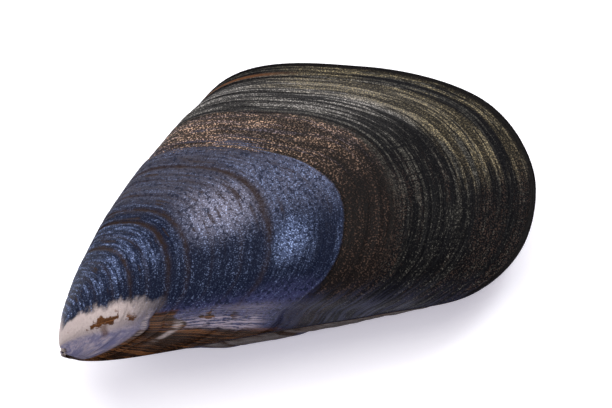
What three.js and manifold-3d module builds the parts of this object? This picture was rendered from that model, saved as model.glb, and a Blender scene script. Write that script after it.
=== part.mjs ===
// A blue mussel shell, closed: two mirror-image valves that meet on one flat parting plane,
// and the brown ligament that joins them along the hinge.
//
// Shell axes: x runs from the beak to the hind end, y towards the hinge side, and z out of
// the parting plane. The beak is near x = 0, y = 0. Lengths are in millimetres.
import * as THREE from "three";
import { mergeVertices } from "three/addons/utils/BufferGeometryUtils.js";
import Module from "manifold-3d";

const wasm = await Module();
wasm.setup();

// ---- Driving dimensions ----

// The edge of a valve: from the beak along the hinge, round the hind end and back below.
const EDGE_POINTS = [
  [-0.9, -0.3], [1.6, 3.3], [13.6, 14.6], [28.9, 27.3], [45.5, 23.1], [57.3, 14.3],
  [60.0, 3.6], [55.6, -5.4], [47.2, -9.6], [36.4, -8.4], [24.3, -6.3], [4.6, -3.1],
];

// A valve grows by adding rings at its edge. Each younger ring is smaller, narrower, and
// swung up out of the parting plane about the growth axis, which passes behind the beak.
const GROWTH_AXIS_DEG = 80;
const BEAK_REACH = 1.0;
const YOUNG_NARROWING = 0.5;
const SWING_RAD = 1.09;
const SWING_POWER = 1.25;
const BEAK_CURL_RAD = 0.93;
const BEAK_CURL_POWER = 6;

// The hollow is the outside form drawn in towards the middle of the parting plane.
const MIDDLE = new THREE.Vector3(30, 6, 0);
const HOLLOW_SCALE = new THREE.Vector3(0.95, 0.945, 0.88);

// The hairline gap between the two valves, and the gap round the ligament.
const PARTING_GAP = 0.3;
const LIGAMENT_GAP = 0.3;

// The ligament lies in a groove of the parting line, a little proud of the edge. Its ends
// are given as shares of the way round the edge, counted from the beak.
const LIGAMENT_START = 0.09;
const LIGAMENT_END = 0.215;
const LIGAMENT_PROUD = 0.1;
const LIGAMENT_WIDTH = 0.9;
const LIGAMENT_HEIGHT = 1.2;

// At rest the shell lies on the small flat worn on the fullest point of its right valve.
// This is straight down at rest, in shell axes: from the centre of mass to that flat.
const REST_DOWN = new THREE.Vector3(0.087, 0.149, -0.985).normalize();
const STRAIGHT_DOWN = new THREE.Vector3(0, 0, -1);
const REST_FLAT_DEPTH = 0.2;
const REST_BLOCK_SIZE = 100;

// How finely the faces are cut.
const EDGE_STEPS = 48;
const OUTER_RINGS = 18;
const INNER_RINGS = 10;
const LIGAMENT_STEPS = 14;
const LIGAMENT_SIDES = 8;

// ---- The form of a valve ----

const growthAngle = THREE.MathUtils.degToRad(GROWTH_AXIS_DEG);
const alongAxis = new THREE.Vector2(Math.cos(growthAngle), Math.sin(growthAngle));
const acrossAxis = new THREE.Vector2(Math.sin(growthAngle), -Math.cos(growthAngle));

const edgeCurve = new THREE.CatmullRomCurve3(
  EDGE_POINTS.map(([x, y]) => new THREE.Vector3(x, y, 0)), true, "catmullrom", 0.5,
);

function edgeLoop() {
  const loop = edgeCurve.getPoints(EDGE_STEPS).slice(0, EDGE_STEPS);
  return loop.map((p) => new THREE.Vector2(p.x, p.y));
}

function swing(age) {
  const younger = 1 - age;
  return SWING_RAD * younger ** SWING_POWER + BEAK_CURL_RAD * younger ** BEAK_CURL_POWER;
}

// The point of the growth ring of this age, 0 at the beak and 1 at the edge, that grew on
// to this point of the edge.
function growthPoint(edge, age) {
  const narrowing = 1 - YOUNG_NARROWING * (1 - age);
  const along = age * edge.dot(alongAxis);
  const reach = age * edge.dot(acrossAxis) * narrowing + BEAK_REACH;
  const across = reach * Math.cos(swing(age)) - BEAK_REACH;
  return new THREE.Vector3(
    along * alongAxis.x + across * acrossAxis.x,
    along * alongAxis.y + across * acrossAxis.y,
    reach * Math.sin(swing(age)),
  );
}

function drawnIn(point) {
  return point.sub(MIDDLE).multiply(HOLLOW_SCALE).add(MIDDLE);
}

// The rings of a valve's skin in order: up the outside from the beak to the edge, then over
// the rim and back down the inside of the hollow.
function skinRings(edges) {
  const rings = [];
  for (let i = 1; i <= OUTER_RINGS; i += 1) {
    rings.push(edges.map((edge) => growthPoint(edge, i / OUTER_RINGS)));
  }
  for (let i = INNER_RINGS; i >= 1; i -= 1) {
    rings.push(edges.map((edge) => drawnIn(growthPoint(edge, i / INNER_RINGS))));
  }
  return rings;
}

function skinGeometry() {
  const edges = edgeLoop();
  const rings = skinRings(edges);
  const beak = growthPoint(edges[0], 0);
  const points = [beak, ...rings.flat(), drawnIn(beak.clone())];
  const last = points.length - 1;
  const at = (ring, step) => 1 + ring * EDGE_STEPS + (step % EDGE_STEPS);
  const faces = [];
  for (let step = 0; step < EDGE_STEPS; step += 1) {
    faces.push(0, at(0, step + 1), at(0, step));
    for (let ring = 0; ring + 1 < rings.length; ring += 1) {
      faces.push(at(ring, step), at(ring, step + 1), at(ring + 1, step + 1));
      faces.push(at(ring, step), at(ring + 1, step + 1), at(ring + 1, step));
    }
    faces.push(last, at(rings.length - 1, step), at(rings.length - 1, step + 1));
  }
  const geometry = new THREE.BufferGeometry().setFromPoints(points);
  geometry.setIndex(faces);
  return geometry;
}

// ---- Solids that cut and are cut ----

function solidOf(geometry) {
  const bare = geometry.clone();
  bare.deleteAttribute("normal");
  bare.deleteAttribute("uv");
  const merged = mergeVertices(bare, 1e-4);
  return new wasm.Manifold(new wasm.Mesh({
    numProp: 3,
    vertProperties: new Float32Array(merged.attributes.position.array),
    triVerts: new Uint32Array(merged.index.array),
  }));
}

function geometryOf(solid) {
  const mesh = solid.getMesh();
  const geometry = new THREE.BufferGeometry();
  geometry.setAttribute("position", new THREE.BufferAttribute(mesh.vertProperties, 3));
  geometry.setIndex(new THREE.BufferAttribute(mesh.triVerts, 1));
  geometry.computeVertexNormals();
  return geometry;
}

// ---- The ligament ----

// The middle line of the ligament, just outside the hinge side of the edge.
function ligamentPath() {
  const points = [];
  for (let i = 0; i <= LIGAMENT_STEPS; i += 1) {
    const share = THREE.MathUtils.lerp(LIGAMENT_START, LIGAMENT_END, i / LIGAMENT_STEPS);
    const along = edgeCurve.getTangent(share);
    const outward = new THREE.Vector3(-along.y, along.x, 0).multiplyScalar(LIGAMENT_PROUD);
    points.push(edgeCurve.getPoint(share).add(outward));
  }
  return points;
}

// A rod of rounded section along the hinge. The margin swells it on every side.
function ligamentGeometry(margin) {
  const points = ligamentPath();
  const ahead = points[0].clone().sub(points[1]).setLength(margin);
  const behind = points.at(-1).clone().sub(points.at(-2)).setLength(margin);
  points[0].add(ahead);
  points.at(-1).add(behind);
  const section = new THREE.Shape(new THREE.EllipseCurve(
    0, 0, LIGAMENT_HEIGHT / 2 + margin, LIGAMENT_WIDTH / 2 + margin,
  ).getPoints(LIGAMENT_SIDES).slice(0, LIGAMENT_SIDES));
  return new THREE.ExtrudeGeometry(section, {
    steps: LIGAMENT_STEPS,
    extrudePath: new THREE.CatmullRomCurve3(points),
  });
}

function buildLigament() {
  const horn = new THREE.MeshStandardMaterial({ color: 0x3a2414, roughness: 0.6, metalness: 0 });
  const mesh = new THREE.Mesh(ligamentGeometry(0), horn);
  mesh.name = "ligament";
  return mesh;
}

// ---- The valves ----

const groove = solidOf(ligamentGeometry(LIGAMENT_GAP));
const leftSolid = solidOf(skinGeometry()).translate([0, 0, PARTING_GAP / 2]).subtract(groove);

// How far a solid reaches along a direction.
function reachAlong(solid, direction) {
  const { vertProperties } = solid.getMesh();
  const point = new THREE.Vector3();
  let farthest = -Infinity;
  for (let i = 0; i < vertProperties.length; i += 3) {
    farthest = Math.max(farthest, point.fromArray(vertProperties, i).dot(direction));
  }
  return farthest;
}

// Wears the flat that the shell rests on: what lies below it is a block cut away.
function wornFlat(solid) {
  const level = reachAlong(solid, REST_DOWN) - REST_FLAT_DEPTH;
  const block = new THREE.BoxGeometry(REST_BLOCK_SIZE, REST_BLOCK_SIZE, REST_BLOCK_SIZE);
  const middle = REST_DOWN.clone().multiplyScalar(level + REST_BLOCK_SIZE / 2);
  const turn = new THREE.Quaternion().setFromUnitVectors(STRAIGHT_DOWN, REST_DOWN);
  block.applyQuaternion(turn).translate(middle.x, middle.y, middle.z);
  return solid.subtract(solidOf(block));
}

function buildValve(name, solid) {
  const shell = new THREE.MeshStandardMaterial({ color: 0x2b2f45, roughness: 0.5, metalness: 0 });
  const mesh = new THREE.Mesh(geometryOf(solid), shell);
  mesh.name = name;
  return mesh;
}

// ---- The closed shell at rest ----

const closedShell = new THREE.Group();
closedShell.add(buildValve("left_valve", leftSolid));
closedShell.add(buildValve("right_valve", wornFlat(leftSolid.mirror([0, 0, 1]))));
closedShell.add(buildLigament());

// Turned so that the flat is level, with the origin under the middle of the shell's box.
closedShell.quaternion.setFromUnitVectors(REST_DOWN, STRAIGHT_DOWN);
const box = new THREE.Box3().setFromObject(closedShell, true);
const boxMiddle = box.getCenter(new THREE.Vector3());
closedShell.position.set(-boxMiddle.x, -boxMiddle.y, -box.min.z);

export default closedShell;
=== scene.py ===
"""A closed mussel shell: two valves, the ligament on their hinge, and the stage that shows them."""

import math

import bmesh
import bpy
import numpy as np
from mathutils import Matrix, Vector


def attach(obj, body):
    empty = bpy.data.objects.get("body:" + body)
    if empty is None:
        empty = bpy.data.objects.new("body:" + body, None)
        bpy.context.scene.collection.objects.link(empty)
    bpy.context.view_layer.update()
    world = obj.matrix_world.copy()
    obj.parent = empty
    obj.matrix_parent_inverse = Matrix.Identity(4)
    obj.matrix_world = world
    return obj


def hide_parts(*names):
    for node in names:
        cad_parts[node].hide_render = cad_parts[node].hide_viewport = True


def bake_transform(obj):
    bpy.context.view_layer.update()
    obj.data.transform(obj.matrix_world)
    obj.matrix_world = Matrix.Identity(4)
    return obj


bl_info = {
    "name": "Mussel Shell",
    "version": (1, 0, 0),
    "blender": (4, 5, 0),
    "location": "3D View > Sidebar > Mussel Shell",
    "description": "Models a mussel shell around its packed frame",
    "category": "Object",
}

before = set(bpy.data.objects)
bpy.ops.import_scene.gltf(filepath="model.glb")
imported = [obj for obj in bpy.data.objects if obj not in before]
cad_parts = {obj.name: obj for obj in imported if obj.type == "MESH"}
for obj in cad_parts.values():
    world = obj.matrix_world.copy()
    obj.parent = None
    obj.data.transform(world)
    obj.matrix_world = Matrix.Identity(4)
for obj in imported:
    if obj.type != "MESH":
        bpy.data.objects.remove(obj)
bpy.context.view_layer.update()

MM = 0.001

# The form of a valve, in millimetres. x runs from the beak to the hind end, y towards the
# hinge side, and z out of the parting plane.
EDGE_POINTS = (
    (-0.9, -0.3), (1.6, 3.3), (13.6, 14.6), (28.9, 27.3), (45.5, 23.1), (57.3, 14.3),
    (60.0, 3.6), (55.6, -5.4), (47.2, -9.6), (36.4, -8.4), (24.3, -6.3), (4.6, -3.1),
)
GROWTH_AXIS = math.radians(80)
BEAK_REACH = 1.0
YOUNG_NARROWING = 0.5
SWING = 1.09
SWING_POWER = 1.25
BEAK_CURL = 0.93
BEAK_CURL_POWER = 6
MIDDLE = np.array((30, 6, 0))
HOLLOW_SCALE = np.array((0.95, 0.945, 0.88))
HALF_PARTING = 0.15
BEAK_PAD = 0.7

# The right valve bulges less on the side away from the hinge: for each millimetre of height,
# its skin there is drawn this much towards the hinge, first near the beak and then behind it.
RIGHT_DRAW_FRONT = 0.44
RIGHT_DRAW_BACK = 0.18

# How the shell lies in the frame: the way that is down, and where the shell axes start.
DOWN_IN_SHELL = Vector((0.087, 0.149, -0.985))
SHELL_START = Vector((-29.1405, -8.5689, 12.9554))
REST = DOWN_IN_SHELL.rotation_difference(Vector((0, 0, -1))).to_matrix()

# Growth lines where the shell stopped for a while: age, how deep and how dark each one is.
GROWTH_STOPS = (
    (0.165, 0.35, 0.15), (0.215, 0.5, 0.3), (0.262, 0.4, 0.5), (0.305, 0.7, 1.0),
    (0.345, 0.5, 0.45), (0.390, 1.0, 1.0), (0.430, 0.8, 0.9), (0.478, 0.35, 0.35),
    (0.532, 0.35, 0.5), (0.580, 1.0, 1.0),
)
GROOVE_DEPTH = 0.13
GROOVE_WIDTH = 0.0045

# The age at which the worn blue part ends, and the ledge there, which fades out behind it.
BLUE_END = 0.705
LEDGE_DEPTH = 0.28
LEDGE_FADE = 0.04

# The rim of a valve, in millimetres, and where its inner rows lie between outer and inner edge.
RIM_BEVEL = 0.12
RIM_SHARES = (0.08, 0.9)

# The ligament runs along this stretch of the edge, in shares of the way round from the beak,
# and the valves leave this much room for it.
LIGAMENT_START = 0.075
LIGAMENT_END = 0.225
LIGAMENT_ROOM = 0.5
LIGAMENT_SIDES = 24
LIGAMENT_STEPS = 90

# Seeds of the random reliefs.
LEFT_SEED = 11
RIGHT_SEED = 29
LIGAMENT_SEED = 71

# Where the markings lie: in shares of the way round the edge, then in ages, each with its
# start, its end and how soft its ends are. None leaves an end open.
MARKINGS = {
    # On the worn blue. The crest and the middle carry painted highlight: lavender grey where the
    # light from above falls.
    "crest": ((0.24, 0.49, 0.04), (0.45, None, 0.05)),
    "painted_highlight_middle": ((0.415, 0.49, 0.055), (0.46, 0.56, 0.05)),
    "last_blue": ((0.40, 0.49, 0.05), (0.5925, None, 0.0075)),
    # Painted highlight: a bright spot of paler blue.
    "painted_highlight_spot": ((0.52, 0.57, 0.03), (0.595, 0.64, 0.02)),
    "first_blue": ((None, 0.51, 0.05), (None, 0.39, 0.03)),
    "navy": ((0.51, 0.66, 0.04), (0.25, 0.575, 0.03)),
    # On the horny skin behind it.
    "rusty_skin": ((0.48, 0.70, 0.04), (None, None, 0)),
    # Partly rubbed skin, partly painted sheen.
    "silver_rings_and_sheen": ((None, 0.41, 0.04), (0.81, 0.94, 0.02)),
    "gold_rings": ((0.30, 0.50, 0.03), (0.885, 0.992, 0.012)),
    "hinge_edge": ((None, 0.29, 0.02), (0.952, 0.964, 0.006)),
    # On the side away from the hinge.
    "bare_upper_side": ((0.69, 0.77, 0.02), (0.44, 0.66, 0.03)),
    "bare_lower_side": ((0.77, 0.845, 0.012), (0.44, 0.66, 0.03)),
    "blotches": ((0.70, 0.82, 0.02), (0.42, 0.60, 0.02)),
    "wedge": ((0.675, None, 0.015), (0.388, None, 0.004)),
    "streak": ((0.775, 0.87, 0.02), (0.455, 0.478, 0.008)),
    "ridge": ((0.66, 0.86, 0.02), (0.366, 0.382, 0.006)),
    # On the beak. Under it lies painted shade.
    "painted_shade_under_beak": ((0.79, None, 0.07), (None, 0.36, 0.04)),
    "scrap": ((0.615, 0.705, 0.012), (0.205, 0.290, 0.010)),
    "scrap_tail": ((0.68, 0.85, 0.02), (0.240, 0.262, 0.008)),
    # In the hollow.
    "muscle_scar": ((0.35, 0.43, 0.02), (0.68, 0.80, 0.02)),
    "mantle_line": ((0.34, None, 0.04), (0.845, 0.865, 0.008)),
}

# The point that the camera looks at, in shell axes, and how far the view is moved from it.
VIEW_MIDDLE = Vector((28, 4, 4))
VIEW_RIGHT = 2.75
VIEW_UP = 3.42

# The lamps: name, place, width, power in watts and colour.
SOFTBOXES = (
    ("Key", (0.14, 0.30, 0.54), 0.85, 5.4, (1.0, 0.98, 0.96)),
    ("Left", (-0.45, 0.05, 0.45), 0.35, 1.5, (1.0, 1.0, 1.0)),
    ("Right", (0.30, 0.17, 0.54), 0.15, 0.8, (0.9, 0.95, 1.0)),
)


# ---- Form ----


def edge_loop(steps):
    """Evenly spread points of the closed curve through EDGE_POINTS, as rows of x, y."""
    points = np.array(EDGE_POINTS, float)
    spans = np.arange(steps) * len(points) / steps
    first = spans.astype(int)
    t = (spans - first)[:, None]
    before, start, end, after = (points[(first + k) % len(points)] for k in (-1, 0, 1, 2))
    leave = (end - before) / 2
    arrive = (after - start) / 2
    cubic = 2 * start - 2 * end + leave + arrive
    square = 3 * end - 3 * start - 2 * leave - arrive
    return cubic * t**3 + square * t**2 + leave * t + start


def growth_points(edges, ages):
    """The points of the growth rings of these ages, one row for each ring."""
    along_axis = np.array((math.cos(GROWTH_AXIS), math.sin(GROWTH_AXIS)))
    across_axis = np.array((math.sin(GROWTH_AXIS), -math.cos(GROWTH_AXIS)))
    age = np.asarray(ages, float)[:, None]
    swing = SWING * (1 - age) ** SWING_POWER + BEAK_CURL * (1 - age) ** BEAK_CURL_POWER
    along = age * (edges @ along_axis)
    reach = age * (edges @ across_axis) * (1 - YOUNG_NARROWING * (1 - age)) + BEAK_REACH
    across = reach * np.cos(swing) - BEAK_REACH
    height = reach * np.sin(swing)
    flat = along[..., None] * along_axis + across[..., None] * across_axis
    return np.concatenate((flat, height[..., None]), axis=2)


def drawn_in(points):
    """Points of the right valve, flattened on the side away from the hinge."""
    share = np.arange(points.shape[1]) / points.shape[1]
    side = smooth_step(0.56, 0.72, share) * smooth_step(1.0, 0.94, share)
    back = smooth_step(9, 19, points[..., 0])
    draw = RIGHT_DRAW_FRONT + (RIGHT_DRAW_BACK - RIGHT_DRAW_FRONT) * back
    drawn = points.copy()
    drawn[..., 1] += draw * side * points[..., 2]
    return drawn


def to_frame(points):
    """Points in shell axes, in millimetres, as points of the frame in metres."""
    return (points @ np.array(REST).T + np.array(SHELL_START)) * MM


def smooth_step(low, high, value):
    share = np.clip((value - low) / (high - low), 0, 1)
    return share * share * (3 - 2 * share)


def bell(value, centre, width):
    return np.exp(-(((value - centre) / width) ** 2))


def wavy_noise(seed, waves, scale):
    """A smooth random field of two or more coordinates, as a sum of a few turned waves."""
    draw = np.random.default_rng(seed)
    directions = draw.normal(size=(waves, len(scale))) * np.array(scale)
    phases = draw.uniform(0, 2 * math.pi, waves)

    def field(*coordinates):
        total = 0
        for direction, phase in zip(directions, phases):
            total = total + np.sin(sum(d * c for d, c in zip(direction, coordinates)) + phase)
        return total / math.sqrt(waves)

    return field


def outward_normals(points):
    """The unit normals of a grid of points whose columns close into a ring."""
    ring = np.roll(points, -1, axis=1) - np.roll(points, 1, axis=1)
    growth = np.gradient(points, axis=0)
    normal = np.cross(ring, growth)
    length = np.linalg.norm(normal, axis=2, keepdims=True)
    return normal / np.maximum(length, 1e-9)


def grown_ages(ages, columns):
    """The age that the growth lines show: they run on past their ring away from the hinge,
    and the worn blue part ends early near the hinge."""
    age = np.asarray(ages)[:, None]
    share = (np.arange(columns) / columns)[None, :]
    slant = np.clip((share - 0.66) / 0.29, 0, 1) ** 1.6
    near_hinge = smooth_step(0.50, 0.36, share)
    early = smooth_step(0.60, 0.655, age) * smooth_step(0.79, 0.69, age)
    return age * (1 - 0.6 * slant) + 0.045 * near_hinge * early


def growth_relief(edges, ages, depth, seed):
    """How far each point of the outside stands proud, in millimetres, by its growth."""
    age = np.asarray(ages)[:, None]
    x, y = edges[:, 0][None, :], edges[:, 1][None, :]
    grown = grown_ages(ages, len(edges)) + 0.003 * wavy_noise(seed, 6, (0.10, 0.10))(x, y)
    grooves = sum(
        -GROOVE_DEPTH * deep * bell(grown, stop, GROOVE_WIDTH) for stop, deep, _ in GROWTH_STOPS
    )
    ledge = smooth_step(BLUE_END - 0.004, BLUE_END + 0.004, grown)
    ledge = -LEDGE_DEPTH * ledge * np.exp(-np.maximum(grown - BLUE_END, 0) / LEDGE_FADE)
    ridges = wavy_noise(seed + 1, 10, (0.05, 0.05, 170))(x, y, grown)
    fine = wavy_noise(seed + 2, 12, (0.09, 0.09, 420))(x, y, grown)
    swell = wavy_noise(seed + 3, 6, (0.03, 0.03, 26))(x, y, grown)
    late = smooth_step(0.70, 0.88, age)
    relief = grooves + ledge + ridges * (0.016 + 0.03 * late) + fine * (0.006 + 0.02 * late)
    relief = relief + swell * 0.04
    return relief * depth * smooth_step(0.02, 0.12, age) * smooth_step(1.0, 0.95, age)


# ---- Mesh helpers ----


def add_piece(name, bm):
    """Makes a smooth mesh object from a bmesh, at the origin."""
    for face in bm.faces:
        face.smooth = True
    mesh = bpy.data.meshes.new(name)
    bm.to_mesh(mesh)
    bm.free()
    piece = bpy.data.objects.new(name, mesh)
    bpy.context.collection.objects.link(piece)
    return piece


def closed_skin(name, points, growth, ages, inside_row):
    """A closed skin from rows of points that start and end at a pole.

    Each point keeps its growth values and its age, the map keeps its share of the way round,
    and the rows from inside_row on take the second material."""
    rows, columns = len(points) - 1, points.shape[1]
    bm = bmesh.new()
    bm.loops.layers.uv.new("Growth")
    growth_layer = bm.verts.layers.float_vector.new("growth")
    age_layer = bm.verts.layers.float.new("age")
    bmesh.ops.create_grid(bm, x_segments=columns, y_segments=rows, size=1, calc_uvs=True)
    for face in bm.faces:
        height = (face.calc_center_median().y + 1) / 2 * rows
        face.material_index = int(height > inside_row)
    for vert in bm.verts:
        column = round((vert.co.x + 1) / 2 * columns) % columns
        row = round((vert.co.y + 1) / 2 * rows)
        vert.co = points[row, column]
        vert[growth_layer] = growth[row, column]
        vert[age_layer] = ages[row]
    bmesh.ops.remove_doubles(bm, verts=bm.verts, dist=1e-7)
    bmesh.ops.recalc_face_normals(bm, faces=bm.faces)
    return add_piece(name, bm)


# ---- Valves ----


def ligament_bed(columns):
    """1 where the ligament lies along the edge, 0 elsewhere, for each column."""
    share = np.arange(columns) / columns
    fade = 0.012
    opening = smooth_step(LIGAMENT_START - fade, LIGAMENT_START + fade, share)
    return opening * smooth_step(LIGAMENT_END + fade, LIGAMENT_END - fade, share)


def beak_pad(ages, columns):
    """Fills the pocket under the beak, in millimetres, where the valve faces forward."""
    share = np.arange(columns) / columns
    turn = np.minimum(share, 1 - share)[None, :]
    return BEAK_PAD * bell(turn, 0, 0.07) * bell(np.asarray(ages)[:, None], 0.45, 0.3)


def valve_rows(form, seed):
    """A left valve's skin in shell axes, from the beak over the outside and the rim and
    back through the hollow: points, growth values and ages, row by row."""
    edges = edge_loop(form.columns)
    ages = np.linspace(0, 1, form.outside_rows + 1)
    outside = growth_points(edges, ages)
    relief = growth_relief(edges, ages, form.relief, seed)
    relief = relief + beak_pad(ages, form.columns)
    outside = outside + outward_normals(outside) * relief[..., None]
    outside[..., 2] = np.maximum(outside[..., 2], 0)
    bed = ligament_bed(form.columns)[None, :] * smooth_step(0.955, 1.0, ages)[:, None]
    outside[..., 2] += LIGAMENT_ROOM * bed
    hollow_ages = np.linspace(1, 0, form.inside_rows + 1)
    hollow = (growth_points(edges, hollow_ages) - MIDDLE) * HOLLOW_SCALE + MIDDLE
    outer_edge, inner_edge = outside[-1].copy(), hollow[0]
    outside[-1, :, 2] += RIM_BEVEL
    rim = [outer_edge + (inner_edge - outer_edge) * share for share in RIM_SHARES]
    points = np.concatenate((outside, rim, hollow)) + (0, 0, HALF_PARTING)
    all_ages = np.concatenate((ages, np.ones(len(rim)), hollow_ages))
    grown = grown_ages(all_ages, form.columns)
    ends = np.broadcast_to(edges + 200 * seed, (len(points), *edges.shape))
    return points, np.dstack((ends, grown)), all_ages


def build_valve(name, node, skin, form, side, seed):
    """One valve around its CAD node. side is 1 for the left valve and -1 for the right."""
    points, growth, ages = valve_rows(form, seed)
    if side < 0:
        points = drawn_in(points)
    points = to_frame(points * (1, 1, side))
    points[..., 2] = np.maximum(points[..., 2], 0)
    valve = closed_skin(name, points, growth, ages, form.outside_rows + 0.5)
    valve.data.materials.append(bpy.data.materials[skin])
    valve.data.materials.append(bpy.data.materials["Mother Of Pearl"])
    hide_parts(node)
    return valve


# ---- Materials ----

FLOAT = "NodeSocketFloat"
VECTOR = "NodeSocketVector"
COLOUR = "NodeSocketColor"


class Graph:
    """Adds nodes to a node tree, with their inputs linked or set as they are made."""

    def __init__(self, tree):
        self.tree = tree

    def feed(self, socket, value):
        if isinstance(value, bpy.types.NodeSocket):
            self.tree.links.new(value, socket)
        else:
            socket.default_value = value

    def add(self, kind, inputs=None, **settings):
        node = self.tree.nodes.new(kind)
        for setting, value in settings.items():
            setattr(node, setting, value)
        for socket, value in (inputs or {}).items():
            self.feed(node.inputs[socket], value)
        return node

    def math(self, operation, first, second=0.0):
        return self.add("ShaderNodeMath", {0: first, 1: second}, operation=operation).outputs[0]

    def plus(self, first, *others):
        for other in others:
            first = self.math("ADD", first, other)
        return first

    def times(self, first, *others):
        for other in others:
            first = self.math("MULTIPLY", first, other)
        return first

    def most(self, first, *others):
        for other in others:
            first = self.math("MAXIMUM", first, other)
        return first

    def scaled(self, value, scale, start=0.0):
        """start where the value is 0, changing by scale where it is 1."""
        return self.plus(self.times(value, scale), start)

    def step(self, low, high, value):
        """A soft step from 0 at low to 1 at high."""
        inputs = {"Value": value, "From Min": low, "From Max": high}
        node = self.add("ShaderNodeMapRange", inputs, interpolation_type="SMOOTHSTEP")
        return node.outputs["Result"]

    def band(self, low, high, soft, value):
        """1 between low and high, with soft ends. None leaves an end open."""
        rise = 1.0 if low is None else self.step(low - soft, low + soft, value)
        fall = 1.0 if high is None else self.step(high + soft, high - soft, value)
        return self.times(rise, fall)

    def blend(self, factor, first, second):
        node = self.add("ShaderNodeMix", {0: factor, 6: first, 7: second}, data_type="RGBA")
        return node.outputs[2]

    def noise(self, vector, scale=1.0, detail=2.0, roughness=0.5):
        inputs = {"Vector": vector, "Scale": scale, "Detail": detail, "Roughness": roughness}
        return self.add("ShaderNodeTexNoise", inputs).outputs["Fac"]

    def group(self, name, inputs):
        return self.add("ShaderNodeGroup", inputs, node_tree=bpy.data.node_groups[name])

    def bump(self, shader, height, strength, distance):
        inputs = {"Height": height, "Strength": strength, "Distance": distance}
        bump = self.add("ShaderNodeBump", inputs)
        self.feed(shader.inputs["Normal"], bump.outputs["Normal"])


def new_material(name):
    material = bpy.data.materials.new(name)
    material.use_nodes = True
    return Graph(material.node_tree), material.node_tree.nodes["Principled BSDF"]


def new_group(name, inputs, outputs):
    """A shader node group. inputs gives the default of each, or None for a vector, and
    outputs gives the kind of each."""
    group = bpy.data.node_groups.new(name, "ShaderNodeTree")
    for label, default in inputs.items():
        kind = VECTOR if default is None else FLOAT
        socket = group.interface.new_socket(label, in_out="INPUT", socket_type=kind)
        if default is not None:
            socket.default_value = default
    for label, kind in outputs.items():
        group.interface.new_socket(label, in_out="OUTPUT", socket_type=kind)
    graph = Graph(group)
    return graph, graph.add("NodeGroupInput").outputs, graph.add("NodeGroupOutput").inputs


def streaks_group():
    """Streaks in growth values: Along is how fast they change along a ring, per millimetre
    of the edge, and Across how fast from ring to ring, over the whole age."""
    graph, given, result = new_group(
        "Growth Streaks", {"Growth": None, "Along": 0.05, "Across": 90.0}, {"Streak": FLOAT},
    )
    parts = graph.add("ShaderNodeSeparateXYZ", {0: given["Growth"]}).outputs
    x = graph.times(parts[0], given["Along"])
    y = graph.times(parts[1], given["Along"])
    depth = graph.times(parts[2], given["Across"])
    place = graph.add("ShaderNodeCombineXYZ", {0: x, 1: y, 2: depth}).outputs[0]
    graph.feed(result["Streak"], graph.noise(place, 1.0, 4.0, 0.6))


def grain_group():
    """Fine grains: 1 on a grain and 0 between. Cover is how much of the face they take."""
    graph, given, result = new_group(
        "Shell Grain", {"Place": None, "Scale": 4000.0, "Cover": 0.5}, {"Grain": FLOAT},
    )
    field = graph.noise(given["Place"], given["Scale"], 1.0, 0.6)
    low = graph.scaled(given["Cover"], -0.3, 0.69)
    graph.feed(result["Grain"], graph.step(low, graph.plus(low, 0.08), field))


class Chart:
    """The coordinates of a valve's skin, read from its mesh, and what is laid out on them."""

    def __init__(self, graph):
        self.graph = graph
        self.place = graph.add("ShaderNodeTexCoord").outputs["Object"]
        attribute = graph.add("ShaderNodeAttribute", attribute_name="growth")
        self.growth = attribute.outputs["Vector"]
        self.age = graph.add("ShaderNodeAttribute", attribute_name="age").outputs["Fac"]
        self.cloud = graph.noise(self.place, 160.0, 3.0, 0.55)
        self.patch = graph.noise(self.place, 480.0, 4.0, 0.62)
        wobble = graph.scaled(self.patch, 0.024, -0.012)
        round_edge = graph.add("ShaderNodeUVMap", uv_map="Growth").outputs["UV"]
        share = graph.add("ShaderNodeSeparateXYZ", {0: round_edge}).outputs[0]
        self.share = graph.plus(share, wobble)
        grown = graph.add("ShaderNodeSeparateXYZ", {0: self.growth}).outputs[2]
        self.grown = graph.plus(grown, graph.times(wobble, 0.35))

    def streaks(self, along, across):
        inputs = {"Growth": self.growth, "Along": along, "Across": across}
        return self.graph.group("Growth Streaks", inputs).outputs["Streak"]

    def grain(self, scale, cover):
        inputs = {"Place": self.place, "Scale": scale, "Cover": cover}
        return self.graph.group("Shell Grain", inputs).outputs["Grain"]

    def marking(self, name, share=None, age=None):
        """1 where a marking lies, by the chart's share and grown age unless others are given."""
        round_edge, by_age = MARKINGS[name]
        share_band = self.graph.band(*round_edge, self.share if share is None else share)
        age_band = self.graph.band(*by_age, self.grown if age is None else age)
        return self.graph.times(share_band, age_band)


def growth_lines(graph, chart):
    """Thin dark lines at the ages where growth stopped, patchy and fading away from the hinge."""
    ramp = graph.add("ShaderNodeValToRGB", {"Fac": chart.grown})
    elements = ramp.color_ramp.elements
    elements[0].color = elements[1].color = (0, 0, 0, 1)
    for stop, deep, dark in GROWTH_STOPS:
        width = 0.004 + 0.006 * deep
        for offset, level in ((-width, 0.0), (0.0, dark), (width, 0.0)):
            element = elements.new(stop + offset)
            element.color = (level, level, level, 1)
    broken = graph.scaled(graph.step(0.40, 0.52, chart.streaks(0.3, 60.0)), 0.35, 0.65)
    fading = graph.scaled(graph.step(0.60, 0.42, chart.share), 0.55, 0.45)
    return graph.times(
        ramp.outputs["Color"], fading, broken, graph.step(0.80, 0.68, chart.share),
    )


def thin_lines(graph, chart, rings):
    """Short thin lines between the main growth lines, towards the hinge."""
    return graph.times(
        graph.step(0.44, 0.37, rings), graph.step(0.56, 0.44, chart.share),
        graph.step(0.45, 0.55, chart.patch), 0.8,
    )


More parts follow.
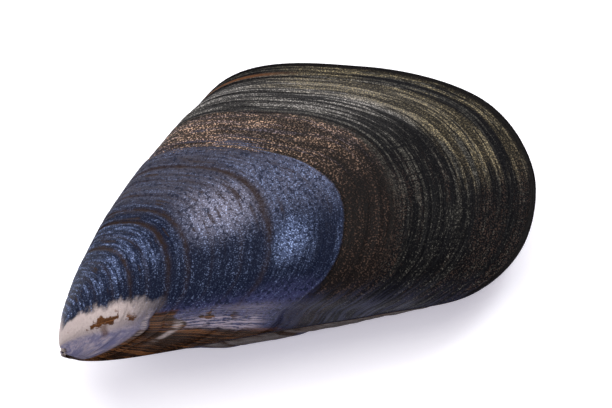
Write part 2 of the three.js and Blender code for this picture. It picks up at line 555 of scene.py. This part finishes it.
def blue_paleness_and_highlight(graph, chart, rings):
    """How pale the worn blue is: by its markings, of which the middle and the bright spot are
    painted highlight, and by rings that are strongest early on.
    """
    first = chart.marking("first_blue")
    pale = graph.plus(
        graph.times(chart.marking("painted_highlight_middle"), 0.65),
        graph.times(chart.marking("last_blue"), 0.24),
        graph.times(first, 0.06),
        graph.times(chart.marking("painted_highlight_spot"), 0.85),
    )
    ringed = graph.times(graph.step(0.48, 0.60, rings), graph.scaled(first, 0.34, 0.2))
    return graph.times(graph.plus(pale, ringed), graph.plus(0.42, chart.cloud))


def blue_skin(graph, chart, colours):
    """Worn blue lime with sparkling grains, paler and greyer on the crest, where a lavender grey
    highlight is painted, and growth lines.
    """
    fine = chart.grain(5800.0, 0.42)
    coarse = chart.grain(2400.0, 0.5)
    rings = chart.streaks(0.06, 110.0)
    pale = blue_paleness_and_highlight(graph, chart, rings)
    skin = graph.blend(pale, colours.deep_blue, colours.pale_blue)
    # Painted highlight: lavender grey over the middle, and patchily over the crest, where the light
    # from above falls.
    painted_highlight = graph.plus(
        graph.times(chart.marking("painted_highlight_middle"), graph.plus(rings, fine, -0.1)),
        graph.times(chart.marking("crest"), chart.patch, 0.24),
    )
    skin = graph.blend(painted_highlight, skin, colours.lavender)
    haze = graph.times(graph.step(0.60, 0.69, chart.share), graph.scaled(rings, 0.8, 0.35))
    skin = graph.blend(haze, skin, colours.violet)
    skin = graph.blend(graph.times(chart.marking("navy"), 0.8), skin, colours.deep_blue)
    # Sparkling grains, brighter where the blue is paler, and so also under the painted highlight.
    skin = graph.blend(graph.times(fine, graph.scaled(pale, 0.7, 0.05)), skin, colours.sparkle)
    skin = graph.blend(graph.times(coarse, 0.72), skin, colours.deep_blue)
    lines = graph.most(growth_lines(graph, chart), thin_lines(graph, chart, rings))
    return graph.blend(lines, skin, colours.line_brown)


def brown_skin(graph, chart, colours):
    """Granular skin past the worn blue: tan towards the hinge, rusty and darker away from it."""
    fine = chart.grain(4800.0, 0.45)
    near_hinge = graph.step(0.50, 0.36, chart.share)
    grains = graph.blend(near_hinge, colours.rust, colours.tan)
    ringed = graph.scaled(graph.step(0.42, 0.58, chart.streaks(0.07, 80.0)), 0.75, 0.25)
    amount = graph.times(ringed, graph.plus(0.06, fine), graph.scaled(near_hinge, 0.6, 0.5))
    skin = graph.blend(amount, colours.brown, grains)
    thin = graph.step(0.50, 0.42, chart.streaks(0.06, 230.0))
    grey = graph.times(near_hinge, thin, graph.plus(0.1, fine), 0.45)
    return graph.blend(grey, skin, colours.pale_blue)


def black_skin(graph, chart, colours):
    """The youngest skin: black, finely ribbed both ways, with olive gold rings, and pale grey rings
    near the hinge that are partly rubbed skin and partly painted sheen.
    """
    grain = chart.grain(5600.0, 0.5)
    ring = graph.step(0.49, 0.58, chart.streaks(0.08, 190.0))
    ray = graph.step(0.30, 0.60, chart.streaks(2.0, 10.0))
    broad = chart.streaks(0.045, 48.0)
    open_side = graph.plus(0.24, graph.step(0.58, 0.46, chart.share))
    weave = graph.times(ring, ray, graph.plus(0.2, grain), open_side)
    skin = graph.blend(weave, colours.black, colours.olive)
    speck = graph.times(chart.grain(4200.0, 0.26), graph.scaled(ring, 0.75, 0.25))
    skin = graph.blend(speck, skin, colours.olive)
    rusty = graph.times(chart.marking("rusty_skin"), graph.step(0.44, 0.56, broad), grain, 0.32)
    skin = graph.blend(rusty, skin, colours.rust)
    # Pale grey rings near the hinge: partly rubbed streaks, partly painted sheen where the light
    # from behind grazes the hinge side.
    silver_and_sheen = graph.times(
        chart.marking("silver_rings_and_sheen"), graph.plus(0.10, ring), graph.plus(0.2, grain), 0.75,
    )
    skin = graph.blend(silver_and_sheen, skin, colours.silver_and_sheen)
    gold = graph.times(
        chart.marking("gold_rings"), graph.step(0.42, 0.52, broad),
        graph.plus(0.25, ring), graph.plus(0.15, grain), 0.9,
    )
    return graph.blend(gold, skin, colours.gold)


def kept_skin(graph, chart, colours):
    """Brown horny skin with fine stripes running from the beak, kept away from the hinge."""
    stripes = graph.step(0.44, 0.62, chart.streaks(1.5, 3.0))
    shades = graph.step(0.36, 0.60, chart.streaks(0.35, 9.0))
    return graph.blend(graph.times(stripes, shades), colours.umber, colours.orange)


def bare_lime(graph, chart, smear):
    """Where the side is rubbed through to the lime."""
    side = graph.plus(
        graph.times(chart.marking("bare_upper_side"), 0.25),
        graph.times(chart.marking("bare_lower_side"), 0.9),
    )
    torn = graph.times(graph.plus(smear, smear, chart.streaks(1.2, 50.0)), 1 / 3)
    return graph.times(side, graph.step(0.465, 0.53, torn))


def kept_wedge(graph, chart, smear):
    """A wedge of kept skin that widens from the beak towards the edge."""
    wide = graph.plus(chart.grown, graph.times(graph.step(0.72, 0.82, chart.share), -0.045))
    return graph.times(
        chart.marking("wedge"), graph.step(0.452, 0.440, wide), graph.step(0.32, 0.38, smear),
    )


def kept_strip(graph, chart, wear):
    """Kept skin along the edge, or all over the side where there is no wear."""
    share_start = graph.scaled(wear, 0.142, 0.68)
    age_start = graph.times(wear, 0.35)
    return graph.times(
        graph.step(share_start, graph.plus(share_start, 0.02), chart.share),
        graph.step(age_start, graph.plus(age_start, 0.02), chart.grown),
    )


def worn_side(graph, chart, colours, skin, wear):
    """White and lavender rubbed through on the side away from the hinge, with the brown
    skin kept around it. Without wear, all of the side keeps its brown skin."""
    smear = chart.streaks(0.9, 11.0)
    bare = graph.times(bare_lime(graph, chart, smear), wear)
    skin = graph.blend(bare, skin, colours.lilac)
    blotch = graph.step(0.55, 0.60, graph.noise(chart.place, 420.0, 3.0, 0.6))
    blotch = graph.times(chart.marking("blotches"), blotch, wear)
    places = graph.most(
        kept_wedge(graph, chart, smear), kept_strip(graph, chart, wear), blotch,
    )
    dull = graph.scaled(wear, -0.8, 0.8)
    kept = graph.blend(dull, kept_skin(graph, chart, colours), colours.umber)
    skin = graph.blend(places, skin, kept)
    white = graph.most(chart.marking("streak"), chart.marking("ridge"))
    white = graph.times(white, graph.step(0.42, 0.60, smear), wear)
    return graph.blend(white, skin, colours.chalk)


def rubbed_chalk(graph, chart, smear):
    """Where the beak is rubbed down to chalk: past a slanting line, and at its very tip."""
    slope = graph.plus(chart.share, graph.times(chart.age, -0.42), graph.times(smear, 0.10))
    slanting = graph.times(graph.step(0.49, 0.53, slope), graph.step(0.42, 0.26, chart.grown))
    ends = graph.most(
        graph.step(0.05, 0.02, chart.share), graph.step(0.955, 0.985, chart.share),
    )
    ends = graph.times(ends, graph.step(0.98, 0.85, chart.age))
    return graph.most(slanting, ends, graph.step(0.11, 0.06, chart.age))


def worn_beak(graph, chart, colours, skin):
    """The beak, rubbed down to chalk, with painted shade of dark lilac beneath it, and a last scrap
    of brown.
    """
    smear = chart.streaks(0.15, 40.0)
    skin = graph.blend(rubbed_chalk(graph, chart, smear), skin, colours.chalk)
    # Painted shade under the beak: a darker, bluer copy of the rubbed lilac, streaked with it.
    shade = graph.blend(graph.step(0.38, 0.75, smear), colours.lilac_painted_shade, colours.lilac)
    skin = graph.blend(graph.times(chart.marking("painted_shade_under_beak"), 0.85), skin, shade)
    rough = graph.plus(chart.patch, -0.5)
    scrap = chart.marking(
        "scrap",
        share=graph.plus(chart.share, graph.times(rough, 0.30)),
        age=graph.plus(chart.grown, graph.times(rough, 0.35)),
    )
    tail = graph.times(chart.marking("scrap_tail"), 0.7)
    kept = kept_skin(graph, chart, colours)
    kept = graph.blend(graph.times(smear, 0.7), kept, colours.orange)
    return graph.blend(graph.most(scrap, tail), skin, kept)


def horny_skin(graph, chart, colours):
    """All the skin outside the worn blue: brown, then black, bluish away from the hinge."""
    skin = graph.blend(
        graph.step(0.775, 0.80, chart.grown),
        brown_skin(graph, chart, colours), black_skin(graph, chart, colours),
    )
    late = graph.scaled(graph.step(0.44, 0.60, chart.streaks(0.10, 130.0)), 0.9, 0.2)
    bluish = graph.step(0.62, 0.72, chart.share)
    bluish = graph.times(bluish, graph.plus(0.25, chart.cloud), late)
    skin = graph.blend(bluish, skin, colours.slate)
    skin = graph.blend(graph.step(0.985, 0.995, chart.grown), skin, colours.brown)
    hinge_edge = graph.times(chart.marking("hinge_edge", age=chart.age), 0.5)
    return graph.blend(hinge_edge, skin, colours.orange)


def inside_blue(graph, chart):
    """1 inside the worn blue: its end is frayed by the hinge and fades away from it."""
    fade = graph.scaled(graph.step(0.63, 0.72, chart.share), 0.07, 0.003)
    fray = graph.plus(chart.streaks(0.06, 170.0), -0.5)
    fray = graph.times(graph.step(0.45, 0.33, chart.share), fray, 0.30)
    start = graph.plus(fade, BLUE_END)
    return graph.step(start, graph.scaled(fade, -1.0, BLUE_END), graph.plus(chart.grown, fray))


def valve_skin_group(colours):
    """The outside of a valve. Wear is 1 where the side away from the hinge is rubbed bare,
    and 0 where it keeps its skin."""
    graph, given, result = new_group(
        "Valve Skin", {"Wear": 1.0}, {"Colour": COLOUR, "Roughness": FLOAT, "Height": FLOAT},
    )
    chart = Chart(graph)
    skin = graph.blend(
        inside_blue(graph, chart),
        horny_skin(graph, chart, colours), blue_skin(graph, chart, colours),
    )
    skin = worn_beak(graph, chart, colours, skin)
    skin = worn_side(graph, chart, colours, skin, given["Wear"])
    graph.feed(result["Colour"], skin)
    graph.feed(result["Roughness"], graph.scaled(chart.patch, 0.3, 0.30))
    height = graph.plus(graph.times(chart.grain(4800.0, 0.5), 0.4), chart.streaks(0.10, 150.0))
    graph.feed(result["Height"], height)


def skin_material(name, wear):
    """The finish of one valve's outside."""
    graph, shader = new_material(name)
    skin = graph.group("Valve Skin", {"Wear": wear}).outputs
    graph.feed(shader.inputs["Base Color"], skin["Colour"])
    graph.feed(shader.inputs["Roughness"], skin["Roughness"])
    shader.inputs["Specular IOR Level"].default_value = 0.06
    graph.bump(shader, skin["Height"], strength=0.8, distance=0.00022)


def pearl_material(colours):
    """The hollow: pearly, with a dark violet border and scars of the muscle and the mantle."""
    graph, shader = new_material("Mother Of Pearl")
    chart = Chart(graph)
    rings = chart.streaks(0.04, 40.0)
    shades = graph.step(0.38, 0.62, graph.times(graph.plus(rings, chart.cloud), 0.5))
    pearl = graph.blend(shades, colours.pearl, colours.pearl_blue)
    scars = graph.most(
        chart.marking("muscle_scar", age=chart.age), chart.marking("mantle_line", age=chart.age),
    )
    pearl = graph.blend(graph.times(scars, 0.6), pearl, colours.scar)
    ragged = graph.plus(chart.age, graph.times(rings, 0.10))
    pearl = graph.blend(graph.step(0.93, 0.985, ragged), pearl, colours.border)
    graph.feed(shader.inputs["Base Color"], pearl)
    graph.feed(shader.inputs["Roughness"], graph.times(rings, 0.4))
    graph.bump(shader, rings, strength=0.3, distance=0.0001)


def horn_material(colours):
    """The ligament: dull brown horn with fibres along it."""
    graph, shader = new_material("Ligament Horn")
    place = graph.add("ShaderNodeTexCoord").outputs["Object"]
    stretch = graph.add("ShaderNodeMapping", {"Vector": place, "Scale": (400, 400, 4000)})
    fibre = graph.noise(stretch.outputs["Vector"], 1.0, 4.0, 0.6)
    grain = graph.group("Shell Grain", {"Place": place, "Scale": 3000.0, "Cover": 0.4})
    horn = graph.blend(graph.step(0.35, 0.65, fibre), colours.umber, colours.orange)
    horn = graph.blend(graph.times(grain.outputs["Grain"], 0.3), horn, colours.black)
    graph.feed(shader.inputs["Base Color"], horn)
    shader.inputs["Roughness"].default_value = 0.55
    graph.bump(shader, fibre, strength=0.6, distance=0.0002)


# ---- Ligament ----


def ligament_line(steps, proud):
    """Points along the middle of the ligament and the way outwards at each, in shell axes."""
    loop = edge_loop(1200)
    share = np.linspace(LIGAMENT_START, LIGAMENT_END, steps)
    flat = loop[np.round(share * len(loop)).astype(int)]
    along = np.gradient(flat, axis=0)
    along /= np.linalg.norm(along, axis=1, keepdims=True)
    outward = np.column_stack((-along[:, 1], along[:, 0]))
    flat = flat + outward * proud
    return np.column_stack((flat, np.zeros(steps))), np.column_stack((outward, np.zeros(steps)))


def build_ligament(size):
    """A rounded band that tapers to both ends, bent along the hinge side of the edge."""
    steps = LIGAMENT_STEPS
    bm = bmesh.new()
    bmesh.ops.create_cone(
        bm, cap_ends=True, segments=LIGAMENT_SIDES, radius1=1, radius2=1, depth=2,
    )
    long_edges = [e for e in bm.edges if abs(e.verts[0].co.z - e.verts[1].co.z) > 1]
    bmesh.ops.subdivide_edges(bm, edges=long_edges, cuts=steps - 1, use_grid_fill=True)
    middle, outward = ligament_line(steps + 1, size.proud / MM)
    ripple = wavy_noise(LIGAMENT_SEED, 8, (6.0, 1.3))
    for vert in bm.verts:
        share = (vert.co.z + 1) / 2
        step = min(steps, max(0, round(share * steps)))
        taper = math.sqrt(max(0.02, 1 - abs(2 * share - 1) ** 6))
        fibre = 1 + 0.05 * ripple(math.atan2(vert.co.y, vert.co.x), share * 30)
        out = outward[step] * vert.co.x * size.width / MM / 2 * taper * fibre
        up = np.array((0, 0, vert.co.y * size.height / MM / 2 * taper * fibre))
        vert.co = to_frame(middle[step] + out + up)
    bmesh.ops.recalc_face_normals(bm, faces=bm.faces)
    ligament = add_piece("Ligament", bm)
    ligament.data.materials.append(bpy.data.materials["Ligament Horn"])
    return ligament


# ---- Settings ----


def colour(label, words, red, green, blue):
    return bpy.props.FloatVectorProperty(
        name=label, description=words, subtype="COLOR", size=4, min=0, max=1,
        default=(red, green, blue, 1),
    )


class MusselForm(bpy.types.PropertyGroup):
    columns: bpy.props.IntProperty(
        name="Columns", description="Steps round the edge of a valve", default=200, min=48,
    )
    outside_rows: bpy.props.IntProperty(
        name="Outside Rows", description="Growth steps on the outside", default=400, min=60,
    )
    inside_rows: bpy.props.IntProperty(
        name="Inside Rows", description="Growth steps in the hollow", default=56, min=16,
    )
    relief: bpy.props.FloatProperty(
        name="Relief", description="How strongly the growth rings stand out",
        default=1.0, min=0, max=2,
    )


class MusselLigament(bpy.types.PropertyGroup):
    width: bpy.props.FloatProperty(
        name="Width", description="Width across the hinge", default=1.2 * MM, unit="LENGTH",
    )
    height: bpy.props.FloatProperty(
        name="Height", description="Height from valve to valve", default=1.0 * MM, unit="LENGTH",
    )
    proud: bpy.props.FloatProperty(
        name="Proud", description="How far the band stands out of the edge",
        default=-0.05 * MM, unit="LENGTH",
    )


class MusselColours(bpy.types.PropertyGroup):
    deep_blue: colour("Deep Blue", "Worn lime, darkest", 0.003, 0.0055, 0.018)
    pale_blue: colour("Pale Blue", "Worn lime, lightest", 0.075, 0.1, 0.19)
    # Lavender is the colour of the painted highlight on the crest of the worn blue.
    lavender: colour("Lavender", "Worn lime on the crest", 0.27, 0.24, 0.275)
    violet: colour("Violet", "Worn lime away from the hinge", 0.05, 0.052, 0.135)
    sparkle: colour("Sparkle", "Grains in the worn lime", 0.46, 0.6, 1.0)
    line_brown: colour("Line Brown", "Growth lines", 0.024, 0.013, 0.008)
    brown: colour("Brown", "Dark horny skin", 0.003, 0.0023, 0.0023)
    rust: colour("Rust", "Grains of the brown skin", 0.11, 0.066, 0.048)
    tan: colour("Tan", "Grains of the brown skin near the hinge", 0.55, 0.36, 0.25)
    black: colour("Black", "Youngest skin", 0.0012, 0.0012, 0.002)
    olive: colour("Olive", "Ribs of the youngest skin", 0.09, 0.0855, 0.072)
    gold: colour("Gold", "Deposits on the youngest skin", 0.3, 0.245, 0.14)
    # This pale grey is partly a rubbed colour and partly painted sheen on the hinge side.
    silver_and_sheen: colour("Silver", "Rubbed streaks near the hinge", 0.375, 0.3525, 0.33)
    slate: colour("Slate", "Youngest skin away from the hinge", 0.036, 0.038, 0.07)
    umber: colour("Umber", "Kept skin, dark stripes", 0.015, 0.006, 0.003)
    orange: colour("Orange", "Kept skin, light stripes", 0.2, 0.078, 0.026)
    chalk: colour("Chalk", "Rubbed beak", 0.45, 0.375, 0.36)
    lilac: colour("Lilac", "Lime rubbed bare on the side", 0.42, 0.36, 0.42)
    # A darker copy of lilac: painted shade under the beak.
    lilac_painted_shade: colour("Lilac Shade", "Under the beak", 0.11, 0.115, 0.24)
    pearl: colour("Pearl", "Hollow, light", 0.6, 0.59, 0.6)
    pearl_blue: colour("Pearl Blue", "Hollow, shaded", 0.44, 0.46, 0.53)
    scar: colour("Scar", "Where muscle and mantle were fixed", 0.22, 0.24, 0.36)
    border: colour("Border", "Border of the hollow", 0.02, 0.02, 0.06)


class MusselStage(bpy.types.PropertyGroup):
    azimuth: bpy.props.FloatProperty(
        name="Azimuth", description="Camera angle round the shell, in shell axes",
        default=math.radians(-20), subtype="ANGLE",
    )
    elevation: bpy.props.FloatProperty(
        name="Elevation", description="Camera angle above the parting plane",
        default=math.radians(66), subtype="ANGLE",
    )
    distance: bpy.props.FloatProperty(
        name="Distance", description="From the camera to the shell", default=0.42, unit="LENGTH",
    )
    lens: bpy.props.FloatProperty(
        name="Lens", description="Focal length of the camera", default=207.2,
        subtype="DISTANCE_CAMERA",
    )
    floor: colour("Floor", "Paper that the shell lies on", 0.9, 0.9, 0.9)
    floor_glow: colour("Floor Glow", "Light that fills the floor's shadow", 0.34, 0.325, 0.375)
    sky: colour("Sky", "Soft light from all round", 0.88, 0.85, 0.95)
    sky_strength: bpy.props.FloatProperty(
        name="Sky Strength", description="How bright the soft light is", default=0.30, min=0,
    )


# ---- Stage ----


def add_camera(stage):
    """The camera, turned about the shell's own axes."""
    azimuth, elevation = stage.azimuth, stage.elevation
    back = Vector((
        math.sin(azimuth) * math.cos(elevation),
        -math.cos(azimuth) * math.cos(elevation),
        math.sin(elevation),
    ))
    right = Vector((math.cos(azimuth), math.sin(azimuth), 0))
    up = back.cross(right)
    aim = VIEW_MIDDLE + right * VIEW_RIGHT + up * VIEW_UP
    at = REST @ (aim + back * stage.distance / MM) + SHELL_START
    camera = bpy.data.objects.new("Camera", bpy.data.cameras.new("Camera"))
    turn = Matrix((right, up, back)).transposed()
    camera.matrix_world = Matrix.Translation(at * MM) @ (REST @ turn).to_4x4()
    camera.data.lens = stage.lens
    camera.data.clip_start = 0.01
    bpy.context.collection.objects.link(camera)
    bpy.context.scene.camera = camera


def add_softbox(name, at, width, watts, tint):
    """A round softbox that faces the shell."""
    lamp = bpy.data.lights.new(name, "AREA")
    lamp.shape = "DISK"
    lamp.size = width
    lamp.energy = watts
    lamp.color = tint
    softbox = bpy.data.objects.new(name, lamp)
    place = Vector(at)
    turn = (-place).to_track_quat("-Z", "Y").to_matrix().to_4x4()
    softbox.matrix_world = Matrix.Translation(place) @ turn
    bpy.context.collection.objects.link(softbox)


def add_floor(stage):
    """A wide sheet of pale paper."""
    bm = bmesh.new()
    bmesh.ops.create_grid(bm, x_segments=1, y_segments=1, size=3)
    floor = add_piece("Floor", bm)
    _, shader = new_material("Paper")
    shader.inputs["Base Color"].default_value = stage.floor
    shader.inputs["Roughness"].default_value = 0.9
    shader.inputs["Specular IOR Level"].default_value = 0.1
    shader.inputs["Emission Color"].default_value = stage.floor_glow
    shader.inputs["Emission Strength"].default_value = 1.0
    floor.data.materials.append(bpy.data.materials["Paper"])


def add_sky(stage):
    """Soft light from all round."""
    world = bpy.data.worlds.new("Studio")
    world.use_nodes = True
    background = world.node_tree.nodes["Background"]
    background.inputs["Color"].default_value = stage.sky
    background.inputs["Strength"].default_value = stage.sky_strength
    bpy.context.scene.world = world


# ---- Operators ----


class MUSSEL_OT_materials(bpy.types.Operator):
    """Mix the finishes of the valves and the ligament"""

    bl_idname = "mussel.materials"
    bl_label = "Mix Finishes"

    def execute(self, context):
        colours = context.scene.mussel_colours
        streaks_group()
        grain_group()
        valve_skin_group(colours)
        skin_material("Left Skin", wear=1.0)
        skin_material("Right Skin", wear=0.0)
        pearl_material(colours)
        horn_material(colours)
        return {"FINISHED"}


class MUSSEL_OT_valves(bpy.types.Operator):
    """Build the left and right valves"""

    bl_idname = "mussel.valves"
    bl_label = "Build Valves"

    def execute(self, context):
        form = context.scene.mussel_form
        left = build_valve("Left_Valve", "left_valve", "Left Skin", form, 1, LEFT_SEED)
        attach(left, "left_side")
        right = build_valve("Right_Valve", "right_valve", "Right Skin", form, -1, RIGHT_SEED)
        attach(right, "right_side")
        return {"FINISHED"}


class MUSSEL_OT_ligament(bpy.types.Operator):
    """Build the ligament on the hinge"""

    bl_idname = "mussel.ligament"
    bl_label = "Build Ligament"

    def execute(self, context):
        size = context.scene.mussel_ligament
        ligament = build_ligament(size)
        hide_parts("ligament")
        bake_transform(ligament)
        return {"FINISHED"}


class MUSSEL_OT_stage(bpy.types.Operator):
    """Set the camera, the lights and the floor"""

    bl_idname = "mussel.stage"
    bl_label = "Set Stage"

    def execute(self, context):
        stage = context.scene.mussel_stage
        add_camera(stage)
        add_floor(stage)
        add_sky(stage)
        for softbox in SOFTBOXES:
            add_softbox(*softbox)
        context.scene.view_settings.view_transform = "Standard"
        return {"FINISHED"}


class MUSSEL_PT_panel(bpy.types.Panel):
    """The mussel shell's steps and settings"""

    bl_label = "Mussel Shell"
    bl_space_type = "VIEW_3D"
    bl_region_type = "UI"
    bl_category = "Mussel Shell"

    def draw(self, context):
        for step in ("mussel.materials", "mussel.valves", "mussel.ligament", "mussel.stage"):
            self.layout.operator(step)
        for settings, group in SETTINGS.items():
            for name in group.__annotations__:
                self.layout.prop(getattr(context.scene, settings), name)


SETTINGS = {
    "mussel_form": MusselForm,
    "mussel_ligament": MusselLigament,
    "mussel_colours": MusselColours,
    "mussel_stage": MusselStage,
}
CLASSES = (
    *SETTINGS.values(), MUSSEL_OT_materials, MUSSEL_OT_valves, MUSSEL_OT_ligament,
    MUSSEL_OT_stage, MUSSEL_PT_panel,
)


def register():
    for each in CLASSES:
        bpy.utils.register_class(each)
    for name, group in SETTINGS.items():
        setattr(bpy.types.Scene, name, bpy.props.PointerProperty(type=group))


def unregister():
    for name in SETTINGS:
        delattr(bpy.types.Scene, name)
    for each in reversed(CLASSES):
        bpy.utils.unregister_class(each)


def main():
    register()
    bpy.ops.mussel.materials()
    bpy.ops.mussel.valves()
    bpy.ops.mussel.ligament()
    bpy.ops.mussel.stage()


if __name__ == "__main__":
    main()
